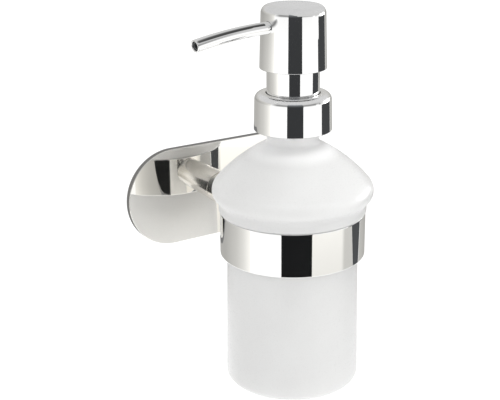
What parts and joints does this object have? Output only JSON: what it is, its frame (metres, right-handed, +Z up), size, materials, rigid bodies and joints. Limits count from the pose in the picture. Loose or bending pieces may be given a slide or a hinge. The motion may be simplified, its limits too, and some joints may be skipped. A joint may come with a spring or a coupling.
{
  "type": "wall mounted soap dispenser",
  "caption": "Wall mounted soap dispenser: a frosted glass bottle hangs in a polished ring on an oblong wall plate and carries a press pump with a swivelling spout.",
  "frame": {"origin": "middle of the face that meets the wall", "axes": "+X along the wall to the right, +Y into the wall, +Z up; the bottle stands towards -Y"},
  "size_m": [0.1023, 0.1045, 0.1739],
  "materials": {
    "polished_metal": "mirror polished",
    "frosted_glass": "satin frosted",
    "white_plastic": "moulded",
    "clear_plastic": "milky translucent",
    "grey_rubber": "soft moulded",
    "white_foam": "closed-cell foam",
    "screw_steel": "plain turned",
    "spring_steel": "bright drawn"
  },
  "bodies": {
    "wall_bracket": {"adhesive_pad": "white_foam", "wall_adapter": "white_plastic", "wall_plate": "polished_metal", "post_screw": "screw_steel", "support_post": "polished_metal", "ring_band": "polished_metal"},
    "bottle": {"glass_bottle": "frosted_glass"},
    "pump": {"neck_gasket": "grey_rubber", "pump_housing": "clear_plastic", "lock_ring": "white_plastic", "dip_tube": "clear_plastic", "spring_seat": "white_plastic", "return_spring": "spring_steel"},
    "collar": {"collar_shell": "polished_metal", "threaded_closure": "white_plastic", "metal_sleeve": "polished_metal"},
    "plunger": {"piston_seal": "grey_rubber"},
    "head": {"piston_stem": "white_plastic", "actuator_insert": "white_plastic", "head_shell": "polished_metal", "spout_tube": "polished_metal", "spout_liner": "clear_plastic"},
    "inlet_valve": {"inlet_ball": "spring_steel"},
    "outlet_valve": {"outlet_ball": "spring_steel"}
  },
  "joints": [
    {"name": "bottle_lift", "type": "slide", "parent": "wall_bracket", "child": "bottle", "axis": [0, 0, 1], "range_m": [0, 0.09]},
    {"name": "pump_rise", "type": "slide", "parent": "bottle", "child": "pump", "axis": [0, 0, 1], "range_m": [0, 0.0053]},
    {"name": "collar_turn", "type": "hinge", "parent": "pump", "child": "collar", "pos_m": [0, -0.0681, 0], "axis": [0, 0, 1], "range_deg": [0, 450]},
    {"name": "head_press", "type": "slide", "parent": "pump", "child": "plunger", "axis": [0, 0, -1], "range_m": [0, 0.01], "stiffness_N_per_m": 500, "springref_m": -0.01, "deforming": ["return_spring"]},
    {"name": "head_swivel", "type": "hinge", "parent": "plunger", "child": "head", "pos_m": [0, -0.0681, 0], "axis": [0, 0, 1], "continuous": true},
    {"name": "inlet_ball_lift", "type": "slide", "parent": "pump", "child": "inlet_valve", "axis": [0, 0, 1], "range_m": [0, 0.001]},
    {"name": "outlet_ball_lift", "type": "slide", "parent": "head", "child": "outlet_valve", "axis": [0, 0, 1], "range_m": [0, 0.002]}
  ],
  "couplings": [
    {"joint": "pump_rise", "follows": "collar_turn", "m_per_rad": 0.00066845}
  ]
}
